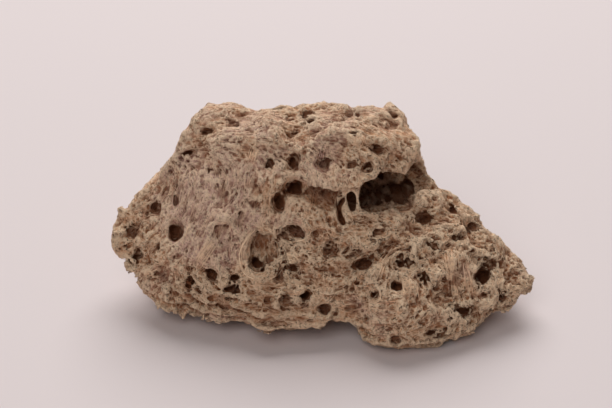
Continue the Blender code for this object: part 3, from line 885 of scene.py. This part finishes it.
print(len(fits), "threads of", THREAD_TRIES, "lie well;", len(front), "in front and", len(back), "behind are kept")
half_widths = 0.026 + 0.070 * dice.random(THREAD_TRIES) ** 3
taper = 1 - np.abs(np.linspace(-1, 1, STEPS)) ** 3 * 0.8
tones = 0.40 + (dice.random(THREAD_TRIES) - 0.4) * (0.40 + 0.60 * mess) + 5 * half_widths
front = front[np.argsort(paths[front, STEPS // 2, 0])]
third = len(front) // 3
threads = []
for name, chosen in (
    ("threads_left", front[:third]),
    ("threads_middle", front[third : 2 * third]),
    ("threads_right", front[2 * third :]),
    ("threads_behind", back),
):
    widths = half_widths[chosen, None] * taper
    made, per_thread = thread_mesh(name, paths[chosen], sides[chosen], widths)
    give(made, "tone", np.repeat(tones[chosen], per_thread))
    threads.append(made)

# %% [markdown]
# ## Strands placed one by one
# Some threads run together into strands that catch the eye: rings round the big bubbles, loops at the
# end of the hollow, and pale bands on the right. Each is drawn on the sheet and laid on the skin.

# %% Strands on the sheet
# (points on the sheet, how far it stands off the skin, half-width, tone)
STRANDS = [
    ([(-9.8, -5.0), (-12.2, -7.6), (-12.9, -11.0), (-11.4, -13.8), (-8.2, -14.9)], 0.2, 0.20, 0.95),
    ([(-9.4, -4.6), (-11.4, -6.4), (-12.4, -9.2), (-12.0, -12.0)], 0.25, 0.11, 0.85),
    ([(-8.2, -14.9), (-5.6, -13.4), (-4.2, -10.4), (-4.9, -7.0), (-7.4, -4.6)], 0.25, 0.20, 0.95),
    ([(-8.6, -4.4), (-6.4, -5.0), (-4.4, -6.9), (-1.6, -7.6), (0.3, -6.4)], 0.25, 0.17, 0.95),
    ([(-9.6, -4.7), (-8.0, -4.0), (-6.2, -4.2), (-4.2, -6.0)], 0.2, 0.09, 0.8),
    ([(-6.8, -14.0), (-4.0, -11.0), (-3.6, -8.4)], 0.2, 0.09, 0.8),
    ([(-4.6, -10.4), (-3.2, -9.6), (-1.6, -10.4), (-0.9, -12.4), (-1.6, -14.4)], 0.2, 0.11, 0.85),
    ([(-4.4, -10.2), (-4.6, -12.6), (-3.6, -15.0), (-2.2, -15.4)], 0.15, 0.10, 0.8),
    ([(-12.8, -14.8), (-10.2, -15.6), (-7.4, -15.4), (-4.8, -16.2), (-2.6, -15.6)], 0.15, 0.10, 0.7),
    ([(-1.9, -16.0), (0.4, -15.8), (1.8, -17.6), (1.2, -19.6)], 0.15, 0.10, 0.8),
    ([(8.9, 2.9), (7.4, 2.3), (6.0, 1.2), (5.4, -0.4), (5.7, -2.4), (6.6, -4.0)], 0.2, 0.12, 0.85),
    ([(8.3, 2.0), (7.6, 0.8), (7.4, -0.6), (7.9, -1.8), (8.7, -2.6)], 0.2, 0.10, 0.9),
    ([(7.9, 1.9), (7.2, 0.4), (7.1, -1.2), (7.6, -2.6), (8.2, -3.4)], 0.2, 0.08, 0.8),
    ([(8.0, 0.9), (7.7, -0.6), (8.3, -1.9), (9.2, -2.5)], 0.2, 0.07, 0.9),
    ([(9.5, 2.9), (9.9, 1.6), (9.9, 0.0), (9.4, -1.9)], 0.25, 0.11, 0.75),
    ([(14.3, 6.3), (14.5, 5.2), (14.9, 4.2), (15.2, 3.6)], 0.3, 0.09, 0.7),
    ([(17.9, 6.5), (18.9, 4.9), (19.7, 3.2), (20.3, 1.4)], 0.3, 0.07, 0.7),
    ([(17.2, 6.3), (18.5, 4.6), (19.4, 2.6), (19.9, 0.8)], 0.3, 0.06, 0.6),
    ([(13.2, -15.5), (13.9, -12.8), (15.2, -10.2), (17.2, -8.4), (20.0, -7.6)], 0.25, 0.14, 0.8),
    ([(13.8, -15.8), (14.6, -12.8), (15.9, -10.4), (17.6, -9.0)], 0.25, 0.10, 0.85),
    ([(12.6, -15.2), (13.4, -12.2), (14.9, -9.6), (16.8, -7.6)], 0.15, 0.09, 0.6),
    ([(12.6, -16.2), (14.6, -18.4), (16.0, -17.4)], 0.15, 0.10, 0.7),
    ([(31.0, -8.6), (32.8, -7.9), (34.4, -8.8), (35.4, -10.8), (35.4, -13.6), (34.4, -16.0)], 0.2, 0.10, 0.6),
    ([(30.8, -10.8), (31.2, -13.2), (31.8, -15.6), (33.4, -16.8)], 0.2, 0.10, 0.75),
    ([(16.0, -11.2), (17.4, -9.4), (19.6, -9.0), (21.6, -10.6)], 0.2, 0.10, 0.7),
    ([(20.9, -13.4), (22.4, -12.6), (24.6, -13.4), (25.6, -14.9)], 0.2, 0.10, 0.6),
    ([(7.6, -20.6), (12.0, -19.8), (17.0, -20.4), (22.4, -21.4)], 0.15, 0.11, 0.7),
    ([(9.0, -18.6), (12.8, -19.2), (16.2, -18.6), (20.4, -19.4)], 0.15, 0.09, 0.65),
    ([(21.6, -2.0), (23.0, -1.7), (24.3, -2.7)], 0.15, 0.08, 0.6),
    ([(7.2, 3.6), (9.6, 4.6), (12.6, 5.6), (15.6, 6.4)], 0.2, 0.10, 0.6),
    ([(-4.6, 2.2), (-3.6, 4.9), (-1.8, 5.2), (-0.2, 3.6)], 0.15, 0.09, 0.5),
]
BANDS = [
    # (foot, head, width of the band, number of strands, tone)
    ((28.4, -18.6), (27.3, -8.0), 2.6, 26, 0.95),
    ((31.4, -17.6), (30.2, -9.6), 1.6, 10, 0.75),
    ((19.4, -18.2), (19.0, -13.6), 2.2, 10, 0.85),
    ((21.6, -19.0), (20.8, -15.0), 1.4, 6, 0.8),
    ((-21.4, -12.4), (-17.2, -6.4), 2.2, 16, 0.95),
    ((-10.8, 7.0), (-9.6, 11.2), 1.6, 9, 0.9),
    ((2.2, 6.2), (3.4, 11.8), 2.6, 10, 0.6),
    ((1.0, -1.6), (1.9, 3.0), 1.8, 8, 0.55),
    ((9.8, 10.2), (10.8, 13.4), 2.0, 7, 0.7),
    ((21.5, -0.6), (18.5, 2.0), 1.4, 6, 0.7),
]
STRAND_STEPS = 21
LONGEST_STEP = 1.6  # mm, past which a path has jumped off an edge


def spline(corners, count):
    """Points spaced along a smooth curve through some corners."""
    corners = np.asarray(corners, float)
    padded = np.vstack([2 * corners[0] - corners[1], corners, 2 * corners[-1] - corners[-2]])
    spans = len(corners) - 1
    found = []
    for at in np.linspace(0, spans, count):
        n = min(int(at), spans - 1)
        t = at - n
        p0, p1, p2, p3 = padded[n : n + 4]
        found.append(
            0.5 * (2 * p1 + (p2 - p0) * t + (2 * p0 - 5 * p1 + 4 * p2 - p3) * t**2
                   + (3 * p1 - p0 - 3 * p2 + p3) * t**3)
        )
    return np.array(found)


def evened(values, rounds):
    """Points along a path, each drawn towards its neighbours, with the ends held."""
    for _ in range(rounds):
        values[1:-1] = 0.5 * values[1:-1] + 0.25 * (values[:-2] + values[2:])
    return values


def laid(corners, lift):
    """A path on the sheet laid on the draped skin, or None where it misses the stone."""
    met = [met_by_sight(across, up, drape) for across, up in spline(corners, STRAND_STEPS)]
    if any(point is None for point in met):
        return None
    path = evened(np.array(met), 6)
    rise = 1 - np.abs(np.linspace(-1, 1, STRAND_STEPS)) ** 6
    level = lift * rise - END_SINK * (1 - rise)
    for _ in range(2):
        miss = np.minimum(sample(drape, path) - level, 0)  # lift what is buried, leave what spans a pit
        path = path - slope(drape, path) * miss[:, None]
    path[[0, -1]] -= slope(drape, path[[0, -1]]) * (sample(drape, path[[0, -1]]) + END_SINK)[:, None]
    if np.linalg.norm(np.diff(path, axis=0), axis=1).max() > LONGEST_STEP:
        return None
    return evened(path, 1)


dice = np.random.default_rng(91)
strand_paths, strand_widths, strand_tones = [], [], []


def add_strand(corners, lift, half_width, tone):
    path = laid(corners, lift)
    if path is None:
        return
    strand_paths.append(path)
    strand_widths.append(half_width * (1 - np.abs(np.linspace(-1, 1, STRAND_STEPS)) ** 4 * 0.7))
    strand_tones.append(tone)


for corners, lift, half_width, tone in STRANDS:
    add_strand(corners, lift, half_width, tone)
    for _ in range(2):
        shifted = np.array(corners) + dice.normal(0, 0.22, 2) + dice.normal(0, 0.12, (len(corners), 2))
        add_strand(shifted, lift * 0.8, half_width * 0.6, tone * 0.85)
for foot, head, width, count, tone in BANDS:
    foot, head = np.array(foot), np.array(head)
    square = np.array((-(head - foot)[1], (head - foot)[0])) / np.linalg.norm(head - foot)
    for _ in range(count):
        start, end = np.sort(dice.uniform(-0.08, 1.08, 2))
        if end - start < 0.35:
            start, end = 0.1, 0.9
        offset = square * dice.uniform(-0.5, 0.5) * width
        middle = foot + (head - foot) * (start + end) / 2 + offset + dice.normal(0, 0.12, 2)
        corners = (foot + (head - foot) * start + offset, middle, foot + (head - foot) * end + offset)
        add_strand(corners, dice.uniform(0.05, 0.3), dice.uniform(0.06, 0.11), tone * dice.uniform(0.75, 1))
for across, up, half_width, half_height, turn, sink in FACE_BUBBLES:
    if max(half_width, half_height) < 1.0:
        continue
    for _ in range(4):
        begin = dice.uniform(0, 2 * math.pi)
        angles = begin + np.linspace(0, dice.uniform(1.2, 3.6), 6)
        grown = dice.uniform(0.98, 1.3)
        ring = np.stack([half_width * grown * np.cos(angles), half_height * grown * np.sin(angles)], 1)
        ring += np.array((across, up)) + dice.normal(0, 0.06, ring.shape)
        add_strand(ring, dice.uniform(0.05, 0.22), dice.uniform(0.05, 0.085), dice.uniform(0.35, 0.85))
strand_paths = np.array(strand_paths)
strand_sides = slope(drape, strand_paths.reshape(-1, 3)).reshape(strand_paths.shape)
strands, per_thread = thread_mesh("strands", strand_paths, strand_sides, np.array(strand_widths))
give(strands, "tone", np.repeat(strand_tones, per_thread))
threads.append(strands)

# %% [markdown]
# ## Shader maths as plain expressions
# A wire is a socket that knows how to add, subtract and multiply, so a formula reads as a formula.


# %% Wires and nodes
class Wire:
    """A socket whose arithmetic adds Math nodes."""

    def __init__(self, maker, socket):
        self.maker = maker
        self.socket = socket

    def _with(self, operation, *values):
        return self.maker.add("ShaderNodeMath", {"operation": operation}, *values)

    def __add__(self, other):
        return self._with("ADD", self, other)

    def __radd__(self, other):
        return self._with("ADD", other, self)

    def __sub__(self, other):
        return self._with("SUBTRACT", self, other)

    def __rsub__(self, other):
        return self._with("SUBTRACT", other, self)

    def __mul__(self, other):
        return self._with("MULTIPLY", self, other)

    def __rmul__(self, other):
        return self._with("MULTIPLY", other, self)

    def over(self, start, end):
        """0 at start, 1 at end, smooth between and held outside."""
        return self.maker.add(
            "ShaderNodeMapRange", {"interpolation_type": "SMOOTHSTEP"}, self, start, end, 0.0, 1.0
        )


class Maker:
    """Adds nodes to one material."""

    def __init__(self, name):
        self.material = bpy.data.materials.new(name)
        self.material.use_nodes = True
        self.tree = self.material.node_tree
        self.shader = self.tree.nodes["Principled BSDF"]

    def add(self, kind, settings, *values, out=0, **named):
        """A node of a type with its settings, then its inputs in order or by name."""
        node = self.tree.nodes.new(kind)
        for setting, value in settings.items():
            setattr(node, setting, value)
        for key, value in [*enumerate(values), *named.items()]:
            if value is None:
                continue
            socket = node.inputs[key if isinstance(key, int) else key.replace("_", " ")]
            if isinstance(value, Wire):
                self.tree.links.new(value.socket, socket)
            else:
                socket.default_value = value
        return Wire(self, node.outputs[out])

    def trait(self, name):
        return self.add("ShaderNodeAttribute", {"attribute_name": name}, out="Fac")

    def mix(self, share, first, second, blend="MIX"):
        """One colour into another by a share."""
        node = self.tree.nodes.new("ShaderNodeMix")
        node.data_type = "RGBA"
        node.blend_type = blend
        for socket, value in zip((node.inputs[0], node.inputs[6], node.inputs[7]), (share, first, second)):
            if isinstance(value, Wire):
                self.tree.links.new(value.socket, socket)
            else:
                socket.default_value = value
        return Wire(self, node.outputs[2])

    def into(self, name, wire):
        self.tree.links.new(wire.socket, self.shader.inputs[name])


def colour(red, green, blue):
    """A colour given as it looks on screen, from 0 to 255, turned to the linear values that shaders use."""
    parts = [part / 255 for part in (red, green, blue)]
    return (*(((part + 0.055) / 1.055) ** 2.4 if part > 0.04045 else part / 12.92 for part in parts), 1)


# %% [markdown]
# ## The stone's finish
# The colour is tan-brown glass, greyer where the glass lies straight. Painted shade makes it nearly black in the
# pits and painted highlights make it cream on the lips. Under the carved bubbles lies froth too fine to carve, so
# it is in the bump and the colour, where its pores are painted dark as shade.

# %% Colours of the glass, and the near-black of the painted shade
TAN = colour(240, 182, 138)
GREY = colour(230, 189, 175)
RUST = colour(200, 132, 82)
CREAM = colour(255, 224, 190)
BROWN = colour(142, 84, 51)
# PIT_SHADE is painted shade: the near-black laid in pits, pores and crevices, where light dies
PIT_SHADE = colour(80, 42, 22)

# %% Stone material
finish = Maker("pumice froth")
place = finish.add("ShaderNodeTexCoord", {}, out="Object")
place = finish.add("ShaderNodeVectorMath", {"operation": "SCALE"}, place, Scale=1000.0)
tight, wide, dell, streak, messy, crevice, cave, stain_and_shade = (finish.trait(name) for name in TRAIT_NAMES)

broad = finish.add("ShaderNodeTexNoise", {}, place, Scale=0.14, Detail=3.0)
patches = finish.add("ShaderNodeTexNoise", {}, place, Scale=0.30, Detail=4.0, Roughness=0.6)
blotch = finish.add("ShaderNodeTexNoise", {}, place, Scale=0.6, Detail=5.0, Roughness=0.6)
grain = finish.add("ShaderNodeTexNoise", {}, place, Scale=2.2, Detail=4.0, Roughness=0.75)
specks = finish.add("ShaderNodeTexNoise", {}, place, Scale=3.6, Detail=2.0, Distortion=0.8)
pores = finish.add("ShaderNodeTexNoise", {}, place, Scale=1.5, Detail=2.0, Distortion=1.2)

# Painted highlight: cream on thin lips, where little solid lies round a point
lip_highlight = (0.60 - tight).over(0.0, 0.20)
# Painted shade: near-black in pits, where much solid lies round a point
pit_shade = tight.over(0.60, 0.85) * 0.5 + wide.over(0.60, 0.86) * 0.6
# Pores too fine to carve: sunk in the bump and painted dark as shade
tiny_pits = (1 - pores.over(0.32, 0.42)) * (0.35 + 0.65 * messy)
tiny_pits = tiny_pits + (1 - specks.over(0.30, 0.42)) * (0.3 + 0.5 * messy)

body = finish.mix((broad + 0.35 * messy + 0.3 * stain_and_shade).over(0.45, 0.75), GREY, TAN)
body = finish.mix((0.0 - stain_and_shade).over(0.1, 0.9) * 0.8, body, GREY)
body = finish.mix((patches + 0.25 * stain_and_shade).over(0.46, 0.66) * 0.6, body, RUST)
body = finish.mix(0.15, body, BROWN)
body = finish.mix((1 - blotch).over(0.485, 0.55) * (0.20 + 0.65 * messy), body, BROWN)
body = finish.mix(blotch.over(0.515, 0.60) * 0.50 * messy, body, CREAM)
body = finish.mix(lip_highlight * 0.7, body, CREAM)
body = finish.mix(streak.over(0.2, 2.2) * 0.4, body, CREAM)
body = finish.mix((0.0 - streak).over(0.2, 2.2) * 0.5, body, BROWN)
body = finish.mix(grain.over(0.53, 0.68) * 0.55, body, CREAM)
body = finish.mix((1 - grain).over(0.52, 0.66) * 0.75, body, BROWN)
# Brown stains, part of them painted shade on dish floors and walls
body = finish.mix(stain_and_shade.over(0.1, 0.9) * 0.6, body, BROWN)
# Painted shade brown in the shallow dells, and painted highlight cream on the crests between them
body = finish.mix(dell.over(0.47, 0.62) * 0.62, body, BROWN)
body = finish.mix((1 - dell).over(0.52, 0.68) * (0.25 + 0.40 * messy), body, CREAM)
# Painted shade: pores and pits darkened to near-black
body = finish.mix(tiny_pits * 0.85, body, PIT_SHADE)
body = finish.mix(pit_shade * 0.6, body, PIT_SHADE)
# Painted shade: cracks and the big hollow darkened where the stone hides the sky
body = finish.mix(crevice.over(0.22, 0.62) * 0.85, body, finish.mix(0.6, BROWN, PIT_SHADE))
body = finish.mix(cave.over(0.55, 0.85) * 0.70, body, BROWN)
finish.into("Base Color", body)
finish.shader.inputs["Roughness"].default_value = 0.9
finish.shader.inputs["Specular IOR Level"].default_value = 0.25
height = grain * 0.9 - tiny_pits * 0.5 + blotch * 0.4 + specks * 0.3 + streak * 0.06
bump = finish.add("ShaderNodeBump", {}, Strength=1.0, Distance=0.0005, Height=height)
finish.into("Normal", bump)
stone.data.materials.clear()
stone.data.materials.append(finish.material)

# %% Thread material
glass = Maker("pumice threads")
place = glass.add("ShaderNodeTexCoord", {}, out="Object")
place = glass.add("ShaderNodeVectorMath", {"operation": "SCALE"}, place, Scale=1000.0)
tight, wide, dell, streak, messy, crevice, cave, stain_and_shade = (glass.trait(name) for name in TRAIT_NAMES)
tone = glass.trait("tone")
broad = glass.add("ShaderNodeTexNoise", {}, place, Scale=0.14, Detail=3.0)
patches = glass.add("ShaderNodeTexNoise", {}, place, Scale=0.30, Detail=4.0, Roughness=0.6)
blotch = glass.add("ShaderNodeTexNoise", {}, place, Scale=0.6, Detail=5.0, Roughness=0.6)
along = glass.add("ShaderNodeTexNoise", {}, place, Scale=1.8, Detail=2.0)
body = glass.mix((broad + 0.35 * messy + 0.3 * stain_and_shade).over(0.45, 0.75), GREY, TAN)
body = glass.mix((0.0 - stain_and_shade).over(0.1, 0.9) * 0.8, body, GREY)
body = glass.mix((patches + 0.25 * stain_and_shade).over(0.46, 0.66) * 0.6, body, RUST)
body = glass.mix(tone.over(0.50, 0.90) * 0.95, body, CREAM)
body = glass.mix((1 - tone).over(0.40, 0.80) * 0.85, body, BROWN)
body = glass.mix(along.over(0.50, 0.72) * (0.30 + 0.40 * messy), body, BROWN)
body = glass.mix((1 - blotch).over(0.485, 0.55) * (0.15 + 0.65 * messy), body, BROWN)
body = glass.mix(blotch.over(0.515, 0.60) * 0.50 * messy, body, CREAM)
# Brown stains, part of them painted shade on dish floors and walls
body = glass.mix(stain_and_shade.over(0.1, 0.9) * 0.6, body, BROWN)
# Painted shade in dells, cracks and the big hollow, and painted highlight on the crests, as on the stone
body = glass.mix(dell.over(0.47, 0.62) * 0.58, body, BROWN)
body = glass.mix((1 - dell).over(0.52, 0.68) * (0.22 + 0.40 * messy), body, CREAM)
body = glass.mix(crevice.over(0.20, 0.65) * 0.75, body, BROWN)
body = glass.mix(cave.over(0.58, 0.85) * 0.6, body, BROWN)
glass.into("Base Color", body)
glass.shader.inputs["Roughness"].default_value = 0.55
glass.shader.inputs["Specular IOR Level"].default_value = 0.35
for made in threads:
    made.data.materials.clear()
    made.data.materials.append(glass.material)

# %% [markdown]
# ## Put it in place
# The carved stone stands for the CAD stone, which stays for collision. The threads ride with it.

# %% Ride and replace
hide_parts("pumice_stone")
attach(stone, "root")
for made in threads:
    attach(made, "root")

# %% [markdown]
# ## The set
# A pale, faintly pink sweep, one large soft light above and a little behind, and a weak even fill.

# %% Floor
bpy.ops.mesh.primitive_plane_add(size=4.0, location=(0, 0, 0))
floor = bpy.context.object
floor.name = "floor"
paper = Maker("pale paper")
paper.shader.inputs["Base Color"].default_value = colour(222, 210, 209)
paper.shader.inputs["Roughness"].default_value = 0.9
floor.data.materials.append(paper.material)


# %% Lights
def soft_light(name, place, size, power, aim=(0, 0, 0.015)):
    bpy.ops.object.light_add(type="AREA", location=place)
    made = bpy.context.object
    made.name = name
    made.data.shape = "DISK"
    made.data.size = size
    made.data.energy = power
    made.rotation_euler = (Vector(aim) - Vector(place)).to_track_quat("-Z", "Y").to_euler()
    return made


soft_light("overhead", (0.0, 0.46, 0.70), 0.85, 6.8)
soft_light("fill", (-0.2, -0.6, 0.62), 0.6, 2.45)
world = bpy.data.worlds.new("even fill")
world.use_nodes = True
world.node_tree.nodes["Background"].inputs["Color"].default_value = (1.0, 0.97, 0.95, 1)
world.node_tree.nodes["Background"].inputs["Strength"].default_value = 0.12
bpy.context.scene.world = world

# %% Camera
bpy.ops.object.camera_add(location=Vector(EYE) * MM)
camera = bpy.context.object
camera.rotation_euler = Vector(SIGHT).to_track_quat("-Z", "Y").to_euler()
camera.data.lens = 100
camera.data.sensor_width = 36
camera.data.clip_start = 0.01
bpy.context.scene.camera = camera
bpy.context.scene.view_settings.view_transform = "Standard"
